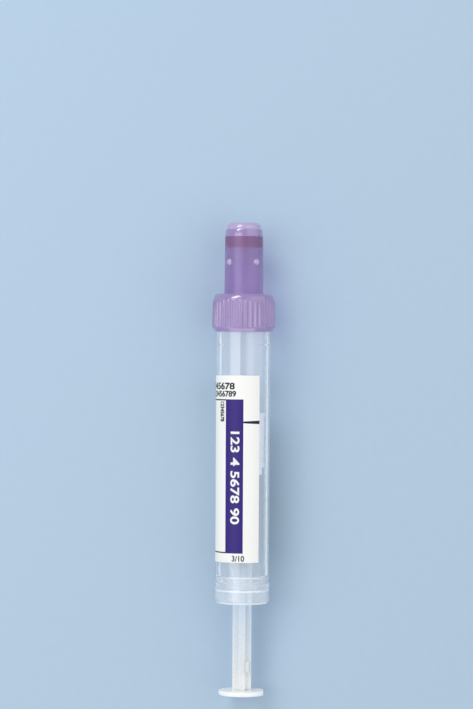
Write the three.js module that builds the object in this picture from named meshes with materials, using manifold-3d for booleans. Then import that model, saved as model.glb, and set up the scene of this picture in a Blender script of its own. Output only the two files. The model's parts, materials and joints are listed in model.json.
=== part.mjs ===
// A syringe-type blood collection tube. A clear barrel is closed by a screw cap with a long nose and
// a rubber membrane. A piston runs in the barrel on a plunger rod that leaves through the foot, and a
// film label is wound round the barrel.
//
// Each piece is built upright on the tube's axis. Heights run up the tube from the foot's rim, and
// angles round it from the front, towards the right. The finished tube is then laid on its back.

import * as THREE from "three";
import { mergeVertices } from "three/addons/utils/BufferGeometryUtils.js";
import Module from "manifold-3d";

const wasm = await Module();
wasm.setup();

// Driving dimensions, in millimetres and degrees.

// Barrel
const barrelLength = 62.8;
const boreRadius = 4.5;
const wallAtFoot = 1.0;
const wallAtShoulder = 1.12;
const neckLength = 5.25;
const neckWall = 0.6;
const shoulderHeight = 0.25;
const mouthChamfer = 0.2;

// Foot of the barrel, with its floor web and the ring that locks the drawn piston
const footHeight = 4.15;
const footStep = 0.07;
const footChamfer = 0.45;
const floorThickness = 1.25;
const recessInset = 0.2;
const lockRingHeight = 1.55;
const lockRingInset = 0.45;

// Skirt of the screw cap
const skirtOverlap = 1.45;
const skirtWall = 0.57;
const skirtDraft = 0.08;
const rimWall = 0.2;
const rimChamfer = 0.8;
const skirtRoundDepth = 0.8;
const skirtRoundHeight = 2.2;
const plateThickness = 0.95;
const threadRoom = 0.45;
const plugDepth = 2.4;
const ribCount = 38;
const ribHeight = 0.24;
const valleyShare = 0.4;
const ribTopLand = 1.1;

// Nose of the screw cap
const noseLength = 14.74;
const noseBore = 3.2;
const noseWallLow = 0.82;
const noseWallHigh = 0.73;
const noseRoundDepth = 0.3;
const noseRoundHeight = 1.8;
const tipMouthRadius = 2.45;
const tipWall = 1.15;
const tipHeight = 1.24;
const tipChamfer = 0.85;
const membraneDepth = 2.84;
const nubCount = 4;
const nubAngle = -49;
const nubHeight = 6.54;
const nubRadius = 0.6;
const nubTipRadius = 0.48;
const nubStandOff = 0.3;
const nubFacets = 12;

// Membrane stopper
const stopperThickness = 2.25;
const stopperDishRadius = 1.7;
const stopperDishDepth = 0.5;

// Piston
const pistonRest = 26.6;
const pistonLength = 12.8;
const pistonWall = 0.85;
const pistonLipHeight = 1.0;
const pistonWaist = 0.18;
const crownThickness = 1.4;
const crownRise = 0.3;
const latchHeight = 1.5;
const socketWall = 0.8;
const snapInset = 0.4;
const snapHeight = 0.8;
const headHeight = 2.6;

// Plunger rod
const rodSpan = 3.9;
const finThickness = 1.45;
const rodBelowFoot = 17.95;
const discRadius = 4.8;
const discThickness = 1.0;
const discRound = 0.3;
const discFlat = 4.47;
const breakSpan = 2.2;
const breakThickness = 0.7;
const breakHeight = 0.8;
const breakBelowFoot = 0.6;
const gussetWidth = 0.55;
const gussetHeight = 2.3;
const gussetAboveDisc = 3.75;

// Label
const labelThickness = 0.1;
const labelAboveFoot = 4.55;
const labelBelowSkirt = 9.0;
const labelRightEdge = 36;
const labelSpan = 230;

// Clearances between pieces
const pistonClearance = 0.05;
const latchClearance = 0.1;
const rodHoleClearance = 0.35;
const socketClearance = 0.1;
const plugClearance = 0.08;
const skirtClearance = 0.09;
const mouthClearance = 0.15;
const membraneClearance = 0.05;
const labelClearance = 0.03;

// Facets round a turned piece. The cap has two for each rib, so that every rib meets a corner. The
// foot has fewer, so that the lying tube rests on a wide flat and doesn't roll.
const roundFacets = 48;
const capFacets = 2 * ribCount;
const footFacets = 24;

// Sizes that follow from those above.
const shoulderAt = barrelLength - neckLength;
const footRadius = boreRadius + wallAtFoot + footStep;
const footRest = footRadius * Math.cos(Math.PI / roundFacets);
const footCorner = footRest / Math.cos(Math.PI / footFacets);
const shoulderRadius = boreRadius + wallAtShoulder;
const neckRadius = boreRadius + neckWall;
const lockRingRadius = boreRadius - lockRingInset;
const lockRingTop = footHeight + lockRingHeight;
const rodReach = Math.hypot(rodSpan, finThickness) / 2;
const rodHoleRadius = rodReach + rodHoleClearance;

const skirtBottom = shoulderAt - skirtOverlap;
const capUnderside = barrelLength + mouthClearance;
const skirtTop = capUnderside + plateThickness;
const skirtBore = shoulderRadius + skirtClearance;
const crestRadius = skirtBore + skirtWall + ribHeight;
const ribBottom = skirtBottom + rimChamfer;
const ribTop = skirtTop - ribTopLand;
const noseTip = skirtTop + noseLength;
const tipBase = noseTip - tipHeight;
const tipRadius = tipMouthRadius + tipWall;
const membraneSeat = noseTip - membraneDepth;

const pistonRadius = boreRadius - pistonClearance;
const pistonTop = pistonRest + pistonLength;
const pistonInnerRadius = pistonRadius - pistonWaist - pistonWall;
const latchRadius = lockRingRadius - latchClearance;
const socketRadius = rodReach + socketClearance;
const socketTop = pistonTop - crownThickness;
const snapRadius = socketRadius - snapInset;
const headBottom = socketTop - socketClearance - headHeight;
const snapTop = headBottom - socketClearance;
const drawnTravel = pistonRest - footHeight - latchClearance;

const discTop = -rodBelowFoot;
const labelBottom = footHeight + labelAboveFoot;
const labelTop = skirtBottom - labelBelowSkirt;

// The barrel's outer radius at a height between the foot and the shoulder.
function bodyRadius(height) {
  const rise = (height - footHeight) / (shoulderAt - footHeight);
  return boreRadius + wallAtFoot + (wallAtShoulder - wallAtFoot) * rise;
}

// A point round the tube: radius from the axis, angle in degrees from the front.
function around(radius, angle) {
  const turn = THREE.MathUtils.degToRad(angle);
  return new THREE.Vector2(radius * Math.sin(turn), -radius * Math.cos(turn));
}

// Points of a quarter of an ellipse in a profile, between two [radius, height] ends. The curve
// leaves its first end straight up the tube and reaches its last end square to the axis.
function quarterRound([startRadius, startHeight], [endRadius, endHeight], steps = 3) {
  const points = [];
  for (let step = 0; step <= steps; step += 1) {
    const turn = (Math.PI / 2) * (step / steps);
    points.push([
      endRadius + (startRadius - endRadius) * Math.cos(turn),
      startHeight + (endHeight - startHeight) * Math.sin(turn),
    ]);
  }
  return points;
}

// A closed geometry as a solid that can be joined and cut.
function solidOf(geometry) {
  geometry.deleteAttribute("normal");
  geometry.deleteAttribute("uv");
  const merged = mergeVertices(geometry, 1e-5);
  return new wasm.Manifold(
    new wasm.Mesh({
      numProp: 3,
      vertProperties: merged.attributes.position.array,
      triVerts: new Uint32Array(merged.index.array),
    }),
  );
}

// A solid turned about the tube's axis from a profile of [radius, height] points. It has a flat,
// not a corner, at the front and at the back.
function turned(profile, facets = roundFacets) {
  const points = profile.map(([radius, height]) => new THREE.Vector2(radius, height));
  const lathe = new THREE.LatheGeometry(points, facets, Math.PI / facets);
  return solidOf(lathe.rotateX(Math.PI / 2));
}

// A straight prism along the tube with the given outline.
function prism(outline, bottom, top) {
  const extrusion = new THREE.ExtrudeGeometry(new THREE.Shape(outline), {
    depth: top - bottom,
    bevelEnabled: false,
  });
  return solidOf(extrusion.translate(0, 0, bottom));
}

// A block between two heights, given by its extent across the front and its extent in depth.
function block([left, right], [front, back], bottom, top) {
  const box = new THREE.BoxGeometry(right - left, back - front, top - bottom);
  return solidOf(box.translate((left + right) / 2, (front + back) / 2, (bottom + top) / 2));
}

// A plus-shaped bar along the tube.
function crossBar(span, thickness, bottom, top) {
  const long = [-span / 2, span / 2];
  const short = [-thickness / 2, thickness / 2];
  return block(long, short, bottom, top).add(block(short, long, bottom, top));
}

// The barrel's outside: the foot with its wide flats, and the tapered tube up to the mouth.
function barrelOutside() {
  const foot = turned(
    [
      [0, 0],
      [footCorner - footChamfer, 0],
      [footCorner, footChamfer],
      [footCorner, footHeight - footStep],
      [footCorner - footStep / 2, footHeight],
      [0, footHeight],
    ],
    footFacets,
  );
  const tube = turned([
    [0, footHeight / 2],
    [bodyRadius(footHeight), footHeight / 2],
    [bodyRadius(footHeight), footHeight],
    [shoulderRadius, shoulderAt],
    [neckRadius, shoulderAt + shoulderHeight],
    [neckRadius, barrelLength - mouthChamfer],
    [neckRadius - mouthChamfer, barrelLength],
    [0, barrelLength],
  ]);
  return foot.add(tube);
}

// The barrel's inside: the foot's recess, the hole for the rod, the locking ring and the bore.
function barrelInside() {
  const beyond = 1;
  return turned([
    [0, -beyond],
    [boreRadius - recessInset, -beyond],
    [boreRadius - recessInset, footHeight - floorThickness],
    [rodHoleRadius, footHeight - floorThickness],
    [rodHoleRadius, footHeight],
    [lockRingRadius, footHeight],
    [lockRingRadius, lockRingTop - lockRingInset],
    [boreRadius, lockRingTop],
    [boreRadius, barrelLength + beyond],
    [0, barrelLength + beyond],
  ]);
}

// The cap's outside before its ribs are cut: chamfered skirt, rounded shoulder, nose and tip.
function capOutside() {
  const highCrest = crestRadius - skirtDraft;
  const noseHigh = noseBore + noseWallHigh;
  return turned(
    [
      [0, skirtBottom],
      [skirtBore + rimWall, skirtBottom],
      [crestRadius, ribBottom],
      ...quarterRound(
        [highCrest, skirtTop - skirtRoundHeight],
        [highCrest - skirtRoundDepth, skirtTop],
      ),
      [noseBore + noseWallLow, skirtTop],
      ...quarterRound(
        [noseHigh, tipBase - noseRoundHeight],
        [noseHigh - noseRoundDepth, tipBase],
      ),
      [tipRadius, tipBase],
      [tipRadius - tipChamfer, noseTip],
      [0, noseTip],
    ],
    capFacets,
  );
}

// The cap's inside: skirt lip, thread room, the plug that seals the barrel, and the nose's bore.
function capInside() {
  const beyond = 1;
  const plugRadius = boreRadius - plugClearance;
  return turned([
    [0, skirtBottom - beyond],
    [skirtBore, skirtBottom - beyond],
    [skirtBore, shoulderAt],
    [neckRadius + threadRoom, shoulderAt + shoulderHeight],
    [neckRadius + threadRoom, capUnderside],
    [plugRadius, capUnderside],
    [plugRadius, capUnderside - plugDepth],
    [noseBore, capUnderside - plugDepth],
    [noseBore, membraneSeat],
    [tipMouthRadius, membraneSeat],
    [tipMouthRadius, noseTip + beyond],
    [0, noseTip + beyond],
  ]);
}

// Everything that stands outside the ribs' outline, over the height of the ribs.
function ribGrooves() {
  const beyond = 1;
  const pitch = 360 / ribCount;
  const outline = [];
  for (let rib = 0; rib < ribCount; rib += 1) {
    outline.push(around(crestRadius - ribHeight, (rib - valleyShare / 2) * pitch));
    outline.push(around(crestRadius - ribHeight, (rib + valleyShare / 2) * pitch));
    outline.push(around(crestRadius, (rib + 0.5) * pitch));
  }
  const band = turned([
    [0, ribBottom],
    [crestRadius + beyond, ribBottom],
    [crestRadius + beyond, ribTop],
    [0, ribTop],
  ]);
  return band.subtract(prism(outline, ribBottom - beyond, ribTop + beyond));
}

// One bayonet nub, standing out of the nose's wall at the given angle.
function nub(angle) {
  const innerEnd = noseBore + noseWallHigh / 2;
  const outerEnd = noseBore + noseWallLow + nubStandOff;
  const place = around((innerEnd + outerEnd) / 2, angle);
  const length = outerEnd - innerEnd;
  const stud = new THREE.CylinderGeometry(nubTipRadius, nubRadius, length, nubFacets);
  stud.rotateZ(THREE.MathUtils.degToRad(angle + 180));
  return solidOf(stud.translate(place.x, place.y, skirtTop + nubHeight));
}

function screwCap() {
  let cap = capOutside().subtract(ribGrooves()).subtract(capInside());
  for (let index = 0; index < nubCount; index += 1) {
    cap = cap.add(nub(nubAngle + (index * 360) / nubCount));
  }
  return cap;
}

function membraneStopper() {
  const radius = noseBore - membraneClearance;
  const top = membraneSeat - membraneClearance;
  return turned([
    [0, top - stopperThickness],
    [radius, top - stopperThickness],
    [radius, top],
    [stopperDishRadius, top],
    [0, top - stopperDishDepth],
  ]);
}

// The piston: a cup open to the rear, with two sealing lips, a ring that locks in the foot and a
// socket with a snap ring for the rod's head.
function piston() {
  const waistRadius = pistonRadius - pistonWaist;
  const rearLip = pistonRest + latchHeight;
  const frontLip = pistonTop - pistonLipHeight;
  const cup = turned([
    [pistonInnerRadius, pistonRest],
    [latchRadius, pistonRest],
    [latchRadius, rearLip],
    [pistonRadius, rearLip],
    [pistonRadius, rearLip + pistonLipHeight],
    [waistRadius, rearLip + pistonLipHeight + pistonWaist],
    [waistRadius, frontLip - pistonWaist],
    [pistonRadius, frontLip],
    [pistonRadius, pistonTop],
    [0, pistonTop + crownRise],
    [0, socketTop],
    [pistonInnerRadius, socketTop],
    [pistonInnerRadius, pistonRest],
  ]);
  const post = turned([
    [0, rearLip],
    [socketRadius + socketWall, rearLip],
    [socketRadius + socketWall, pistonTop - crownThickness / 2],
    [0, pistonTop - crownThickness / 2],
  ]);
  const socket = turned([
    [0, pistonRest],
    [socketRadius, pistonRest],
    [socketRadius, snapTop - snapHeight],
    [snapRadius, snapTop - snapHeight],
    [snapRadius, snapTop],
    [socketRadius, snapTop],
    [socketRadius, socketTop],
    [0, socketTop],
  ]);
  return cup.add(post).subtract(socket);
}

// The plunger rod: thumb disc, cross-section rod with its break-off neck, and the snap head.
function plungerRod() {
  const stemBottom = snapTop - snapHeight - socketClearance;
  const breakTop = drawnTravel - breakBelowFoot;
  const breakBottom = breakTop - breakHeight;
  const sink = discThickness / 2;
  const stemRadius = snapRadius - socketClearance;
  return thumbDisc()
    .add(crossBar(rodSpan, finThickness, discTop - sink, breakBottom))
    .add(crossBar(breakSpan, breakThickness, breakBottom - sink, breakTop + sink))
    .add(crossBar(rodSpan, finThickness, breakTop, stemBottom))
    .add(gusset())
    .add(
      turned([
        [0, stemBottom - sink],
        [stemRadius, stemBottom - sink],
        [stemRadius, headBottom],
        [rodReach, headBottom],
        [rodReach, headBottom + headHeight],
        [0, headBottom + headHeight],
      ]),
    );
}

// The round thumb disc, with rounded edges and a small gate flat on its right side.
function thumbDisc() {
  const bottom = discTop - discThickness;
  const beyond = 1;
  const disc = turned([
    [0, bottom],
    [discRadius - discRound, bottom],
    [discRadius, bottom + discRound],
    [discRadius, discTop - discRound],
    [discRadius - discRound, discTop],
    [0, discTop],
  ]);
  return disc.subtract(
    block(
      [discFlat, discRadius + beyond],
      [-discRadius, discRadius],
      bottom - beyond,
      discTop + beyond,
    ),
  );
}

// A small block in the corner between the front fin and the right fin.
function gusset() {
  const bottom = discTop + gussetAboveDisc;
  const corner = finThickness / 2;
  const sink = corner / 2;
  const outer = corner + gussetWidth;
  return block([sink, outer], [-outer, -sink], bottom, bottom + gussetHeight);
}

// The film label: a thin shell just off the barrel's tapered wall, cut to its span by a wedge.
function label() {
  const inner = (height) => bodyRadius(height) + labelClearance;
  const outer = (height) => inner(height) + labelThickness;
  const shell = turned([
    [inner(labelBottom), labelBottom],
    [outer(labelBottom), labelBottom],
    [outer(labelTop), labelTop],
    [inner(labelTop), labelTop],
    [inner(labelBottom), labelBottom],
  ]);
  const reach = 2 * outer(labelTop);
  const beyond = 1;
  const steps = 12;
  const wedge = [new THREE.Vector2(0, 0)];
  for (let step = 0; step <= steps; step += 1) {
    wedge.push(around(reach, labelRightEdge - labelSpan * (1 - step / steps)));
  }
  return shell.intersect(prism(wedge, labelBottom - beyond, labelTop + beyond));
}

// A named mesh of a solid, with its own material.
function piece(name, solid, color, roughness, opacity = 1) {
  const { vertProperties, triVerts } = solid.getMesh();
  const geometry = new THREE.BufferGeometry();
  geometry.setAttribute("position", new THREE.BufferAttribute(vertProperties, 3));
  geometry.setIndex(new THREE.BufferAttribute(triVerts, 1));
  geometry.computeVertexNormals();
  const material = new THREE.MeshStandardMaterial({
    color,
    roughness,
    metalness: 0,
    opacity,
    transparent: opacity < 1,
  });
  const mesh = new THREE.Mesh(geometry, material);
  mesh.name = name;
  return mesh;
}

// The slope of the axis when the tube lies on two ribs of the skirt and a flat of the foot.
function restingSlope() {
  const skirtRest = crestRadius * Math.cos(Math.PI / ribCount);
  const distance = ribBottom - footChamfer;
  return Math.atan((skirtRest - footRest) / distance);
}

const tube = new THREE.Group();
tube.add(
  piece("barrel", barrelOutside().subtract(barrelInside()), 0xdfe8ee, 0.12, 0.35),
  piece("screw_cap", screwCap(), 0xa393c4, 0.35, 0.85),
  piece("membrane_stopper", membraneStopper(), 0x7d3f78, 0.7),
  piece("piston", piston(), 0xdcdbdb, 0.4, 0.85),
  piece("plunger_rod", plungerRod(), 0xe6ebf0, 0.35, 0.85),
  piece("label", label(), 0xfcfbf8, 0.5),
);

// Cap towards +Y, front upwards, lowest points on the ground, origin under the middle.
tube.rotation.x = restingSlope() - Math.PI / 2;
const bounds = new THREE.Box3().setFromObject(tube, true);
const middle = bounds.getCenter(new THREE.Vector3());
tube.position.set(-middle.x, -middle.y, -bounds.min.z);

const bloodCollectionTube = new THREE.Group();
bloodCollectionTube.add(tube);

export default bloodCollectionTube;
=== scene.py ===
"""The looks of a syringe-type blood collection tube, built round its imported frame.

Each piece is made upright in the tube's own frame: heights run up its axis from the foot's rim, and
angles run round it from the front, towards the right. It is then laid down where the frame says.
"""

import json
import math
from functools import cache

import bmesh
import bpy
from bpy.props import FloatProperty, FloatVectorProperty, IntProperty, PointerProperty
from mathutils import Matrix, Vector


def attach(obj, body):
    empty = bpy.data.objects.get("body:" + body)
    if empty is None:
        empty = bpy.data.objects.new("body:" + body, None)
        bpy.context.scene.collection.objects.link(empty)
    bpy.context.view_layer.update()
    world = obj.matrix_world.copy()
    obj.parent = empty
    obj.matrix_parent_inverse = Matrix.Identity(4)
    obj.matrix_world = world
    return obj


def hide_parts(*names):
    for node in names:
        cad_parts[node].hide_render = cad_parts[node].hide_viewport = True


bl_info = {
    "name": "Blood collection tube",
    "version": (1, 0, 0),
    "blender": (4, 5, 0),
    "location": "View3D > Sidebar > Tube",
    "description": "Builds a blood collection tube and the pale studio that it lies in",
    "category": "Object",
}

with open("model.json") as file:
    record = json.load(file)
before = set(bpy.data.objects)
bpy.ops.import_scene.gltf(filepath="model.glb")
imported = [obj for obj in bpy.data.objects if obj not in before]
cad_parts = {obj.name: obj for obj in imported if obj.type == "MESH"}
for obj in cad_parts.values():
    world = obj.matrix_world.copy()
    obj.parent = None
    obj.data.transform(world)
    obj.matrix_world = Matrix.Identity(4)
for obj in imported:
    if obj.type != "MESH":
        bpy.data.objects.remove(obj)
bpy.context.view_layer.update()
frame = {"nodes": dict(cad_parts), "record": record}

MM = 0.001
FULL_TURN = 2 * math.pi

# How far the cap's ribs and its tip stay inside the box of its CAD node
RIB_GAP, TIP_GAP = 0.006 * MM, 0.002 * MM

# The angle between two faces, in radians, past which the edge between them is rounded
BEVEL_ANGLE = 0.9

# The part of a noise's range over which a colour or a roughness changes
NOISE_SPAN = (0.3, 0.7)

# The painted gleam on the bore, a pale band standing in for light, at rising values of Layer
# Weight's Facing, and how much further out it lies on the tube's right
PAINTED_GLEAM_STOPS = ((0.251, 0), (0.262, 1), (0.304, 1), (0.32, 0.22))
PAINTED_GLEAM_SHIFT = 0.036

# The point in the row frame that the lamps are aimed at
LAMP_AIM = (0, 0.01, 0.006)


# Places that come from the frame


def tube_frame():
    """The tube's own frame in the row frame: +Z up its axis from the foot's rim, -Y to the front."""
    mounts = {mount["name"]: mount for mount in frame["record"]["mounts"]}
    axis = -Vector(mounts["thumb_face"]["axis"]).normalized()
    thumb = Vector(mounts["thumb_face"]["pos_m"])
    foot = Vector(mounts["foot_rim"]["pos_m"])
    across = Vector((1, 0, 0))
    turn = Matrix((across, axis.cross(across), axis)).transposed().to_4x4()
    return Matrix.Translation(thumb + axis * (foot - thumb).dot(axis)) @ turn


TUBE = tube_frame()


def node_points(node):
    """A CAD node's vertices in the tube's own frame."""
    to_tube = TUBE.inverted()
    return [to_tube @ vertex.co for vertex in frame["nodes"][node].data.vertices]


@cache
def node_ends(node):
    """A CAD node's lowest and highest point along the tube's axis."""
    heights = [point.z for point in node_points(node)]
    return min(heights), max(heights)


def node_radius(node):
    """A CAD node's largest radius."""
    return max(polar(point)[0] for point in node_points(node))


def around(radius, angle, height):
    """The point at a radius, an angle in radians from the front and a height."""
    return Vector((radius * math.sin(angle), -radius * math.cos(angle), height))


# Sizes and colours


def length(name, millimetres, description):
    """A size property, given in millimetres and held in metres."""
    return FloatProperty(
        name=name, description=description, default=millimetres * MM,
        min=0, precision=5, unit="LENGTH", subtype="DISTANCE",
    )


def turn(name, degrees, description):
    """An angle property, given in degrees and held in radians."""
    return FloatProperty(
        name=name, description=description, default=math.radians(degrees),
        unit="ROTATION", subtype="ANGLE",
    )


def amount(name, share, description, high=1):
    """A plain number property from 0 up."""
    return FloatProperty(name=name, description=description, default=share, min=0, max=high)


def linear(value):
    """One channel of a screen colour as linear light."""
    return value / 12.92 if value <= 0.04045 else ((value + 0.055) / 1.055) ** 2.4


def colour(name, rgb, description):
    """A colour property, given as it looks on a screen, 0 to 255, and held as linear light."""
    return FloatVectorProperty(
        name=name, description=description, size=3, subtype="COLOR", min=0, max=1,
        default=[linear(value / 255) for value in rgb],
    )


class BarrelSettings(bpy.types.PropertyGroup):
    """The clear barrel."""

    bore: length("Bore radius", 4.5, "Radius of the space that holds the blood")
    foot_wall: length("Wall at the foot", 1.0, "Wall thickness just above the foot")
    shoulder_wall: length("Wall at the shoulder", 1.11, "Wall thickness under the cap")
    neck_wall: length("Neck wall", 0.6, "Wall thickness where the thread stands")
    neck_length: length("Neck length", 5.25, "Length of the threaded neck")
    foot_height: length("Foot height", 4.15, "Height of the slightly wider foot")
    foot_step: length("Foot step", 0.056, "How far the foot stands out")
    foot_chamfer: length("Foot chamfer", 0.45, "Slope round the foot's rim")
    floor_thickness: length("Floor thickness", 1.25, "Thickness of the web the rod goes through")
    recess_inset: length("Recess inset", 0.2, "How much narrower than the bore the foot's recess is")
    ring_height: length("Locking ring height", 1.55, "Height of the ring above the floor web")
    ring_inset: length("Locking ring inset", 0.45, "How far the locking ring stands in")
    rod_hole: length("Rod hole radius", 2.43, "Radius of the hole in the floor web")
    mould_line: length("Mould line height", 53.4, "Height of the fine line round the bore")
    mould_line_depth: length("Mould line depth", 0.035, "How far that line stands in")
    thread_pitch: length("Thread pitch", 3.0, "Rise of the thread in one turn")
    thread_depth: length("Thread depth", 0.33, "How far the thread stands out")
    thread_start: length("Thread start", 58.7, "Height at which the thread begins")
    tint: colour("Plastic colour", (250, 252, 254), "Colour of the clear plastic")
    haze: amount("Haze", 0.11, "Share of light that each of the plastic's faces scatters")
    milk: amount("Milkiness", 0.24, "The same for the foot's outside")
    web_milk: amount("Web milkiness", 0.36, "The same outside the floor web")
    # The edges' white haze is a painted highlight: it draws bright lines on the rim and the web's edge.
    painted_edge_light: amount("Painted edge highlight", 0.8, "The same for the rim's and the web's edges, hazed white as painted highlight lines")
    # The painted gleam on the bore is a pale band that stands in for light, set brighter on the right.
    painted_gleam_left: amount("Painted bore light, left", 0.55, "Strength of the bore's painted band of light on the left")
    painted_gleam_right: amount("Painted bore light, right", 1.0, "Strength of the bore's painted band of light on the right")


class CapSettings(bpy.types.PropertyGroup):
    """The screw cap with its nose."""

    ribs: IntProperty(name="Ribs", description="Grip ribs round the skirt", default=38, min=12)
    rib_height: length("Rib height", 0.32, "How far a rib stands out of the skirt")
    skirt_wall: length("Skirt wall", 0.49, "Wall between the ribs and the barrel")
    skirt_draft: length("Skirt draft", 0.08, "How much narrower the skirt is at its top")
    rim_wall: length("Rim wall", 0.2, "Wall at the skirt's lower edge")
    rim_chamfer: length("Rim chamfer", 0.8, "Height of the slope under the ribs")
    round_depth: length("Shoulder round depth", 0.8, "Inward reach of the skirt's round shoulder")
    round_height: length("Shoulder round height", 2.2, "Height of the skirt's round shoulder")
    plate: length("Plate thickness", 0.95, "Thickness between the skirt's top and its underside")
    plug_depth: length("Plug depth", 2.4, "How deep the plug reaches into the barrel")
    plug_radius: length("Plug radius", 4.42, "Radius of the plug that seals the barrel")
    thread_room: length("Thread room radius", 5.55, "Radius of the space round the thread")
    nose_length: length("Nose length", 14.74, "Length of the nose above the skirt")
    nose_bore: length("Nose bore radius", 3.2, "Radius of the nose's inside")
    nose_wall_low: length("Nose wall, low", 0.82, "Wall of the nose where it leaves the skirt")
    nose_wall_high: length("Nose wall, high", 0.73, "Wall of the nose near its tip")
    nose_round_depth: length("Nose round depth", 0.3, "Inward reach of the rounding under the tip")
    nose_round_height: length("Nose round height", 1.6, "Height of the rounding under the tip")
    tip_height: length("Tip height", 1.24, "Height of the sloped tip above its step")
    tip_radius: length("Tip radius", 3.56, "Radius of the tip ring")
    tip_round: length("Tip round", 0.94, "How far the tip ring's rim rounds in")
    mouth: length("Mouth radius", 2.45, "Radius of the hole that the needle passes")
    seat_depth: length("Membrane depth", 2.84, "How deep below the rim the membrane sits")
    nub_radius: length("Nub radius", 0.7, "Radius of a bayonet nub")
    nub_stand_off: length("Nub height", 0.42, "How far a nub stands out of the nose")
    nub_rise: length("Nub place", 6.54, "Height of the nubs above the skirt")
    nub_turn: turn("Nub angle", -49, "Angle of the first nub from the front")
    tint: colour("Nose colour", (193, 170, 217), "Colour of the cap's thin plastic")
    # The tip's and the nubs' lighter colour is a painted highlight on the cap's plastic.
    painted_highlight_tint: colour("Tip and nub colour, painted highlight", (205, 190, 224), "Lighter colour of the cap's tip and nubs, a painted highlight")
    thick_tint: colour("Skirt colour", (172, 149, 198), "Colour of the cap's thick plastic")
    shade: colour("Cap shade", (234, 229, 240), "What each face lets through of a lamp's light")
    clearness: amount("Nose clearness", 0.8, "Share of light that passes the thin plastic")
    thick_clearness: amount("Skirt clearness", 0.35, "Share of light that passes the thick plastic")


class StopperSettings(bpy.types.PropertyGroup):
    """The rubber membrane in the nose."""

    dish_radius: length("Dish radius", 1.7, "Radius of the hollow that guides the needle")
    dish_depth: length("Dish depth", 0.5, "Depth of that hollow")
    edge: length("Edge round", 0.12, "Rounding of the membrane's edges")
    squeeze: length("Squeeze", 0.08, "How far the rubber is pressed past its solid, onto the nose")
    tint: colour("Rubber colour", (130, 32, 112), "Colour of the rubber")


class PistonSettings(bpy.types.PropertyGroup):
    """The piston."""

    wall: length("Wall", 0.85, "Wall of the cup")
    lip: length("Lip height", 1.0, "Height of a sealing lip")
    waist: length("Waist", 0.12, "How much narrower the piston is between its lips")
    crown: length("Crown thickness", 1.4, "Thickness of the closed end")
    crown_rise: length("Crown rise", 0.3, "Height of the crown's low cone")
    latch_height: length("Latch height", 1.5, "Height of the ring that locks in the foot")
    latch_radius: length("Latch radius", 3.95, "Radius of that ring")
    socket: length("Socket radius", 2.18, "Radius of the socket for the rod's head")
    socket_wall: length("Socket wall", 0.8, "Wall round the socket")
    snap_inset: length("Snap inset", 0.4, "How far the snap ring stands in")
    snap_height: length("Snap height", 0.8, "Height of the snap ring")
    snap_drop: length("Snap drop", 2.8, "Distance from the socket's end to the snap ring")
    tint: colour("Piston colour", (250, 250, 250), "Colour of the piston's plastic")


class RodSettings(bpy.types.PropertyGroup):
    """The plunger rod with its thumb disc."""

    span: length("Rod width", 3.9, "Width across the fins")
    fin: length("Fin thickness", 1.45, "Thickness of a fin")
    edge: length("Edge round", 0.14, "Rounding of the fins' edges")
    disc_radius: length("Disc radius", 4.8, "Radius of the thumb disc")
    disc_thickness: length("Disc thickness", 1.0, "Thickness of the thumb disc")
    disc_flat: length("Disc flat", 4.47, "Distance of the disc's flat from the axis")
    break_height: length("Neck place", 20.95, "Height of the break-off neck's lower end")
    break_length: length("Neck length", 0.8, "Length of the break-off neck")
    break_span: length("Neck width", 2.2, "Width across the break-off neck")
    break_fin: length("Neck fin", 0.7, "Thickness of the break-off neck's fins")
    head_height: length("Head height", 2.6, "Height of the snap head")
    stem_radius: length("Stem radius", 1.68, "Radius of the stem under the snap head")
    stem_height: length("Stem height", 1.0, "Height of the stem under the snap head")
    gusset_rise: length("Gusset place", 3.75, "Height of the small gusset above the disc")
    gusset_height: length("Gusset height", 2.3, "Height of the small gusset")
    gusset_width: length("Gusset width", 0.75, "Width of the small gusset")
    gusset_depth: length("Gusset depth", 1.12, "How far the small gusset comes forward")
    tint: colour("Disc colour", (249, 248, 245), "Colour of the thumb disc's plastic")
    # The fins' bluish colour is painted light seen through the plastic; the disc's colour is the
    # plastic's own.
    painted_blue_tint: colour("Fin colour with painted blue", (217, 228, 238), "Bluish colour, painted for the light seen through the plastic, that the fins reach at the foot")


class LabelSettings(bpy.types.PropertyGroup):
    """The label wound round the barrel, with its print."""

    right: turn("Right edge", 36, "Angle of the label's right edge")
    span: turn("Span", 230, "Angle that the label covers")
    thickness: length("Film thickness", 0.09, "Thickness of the film")
    stripe_left: turn("Stripe's left edge", -39, "Angle of the stripe's left edge")
    stripe_right: turn("Stripe's right edge", 0.4, "Angle of the stripe's right edge")
    field_top: length("Field top", 42.2, "Height of the stripe's and the field's top")
    field_bottom: length("Field bottom", 10.6, "Height of the stripe's and the field's bottom")
    line: length("Line width", 0.25, "Width of the field's dark lines")
    mark_height: length("Fill mark", 37.5, "Height of the fill mark")
    mark_thin: length("Mark width", 0.36, "Width of the fill mark at the stripe")
    mark_wide: length("Mark end width", 0.72, "Width of the fill mark at the label's edge")
    ink_stand: length("Ink thickness", 0.012, "Thickness of the printed figures")
    film: colour("Film colour", (245, 243, 237), "Colour of the label's film")
    stripe_ink: colour("Stripe colour", (54, 34, 122), "Colour of the stripe")
    dark_ink: colour("Dark ink", (14, 12, 26), "Colour of lines and figures")
    mark_ink: colour("Mark colour", (20, 18, 66), "Colour of the fill mark")


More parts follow.
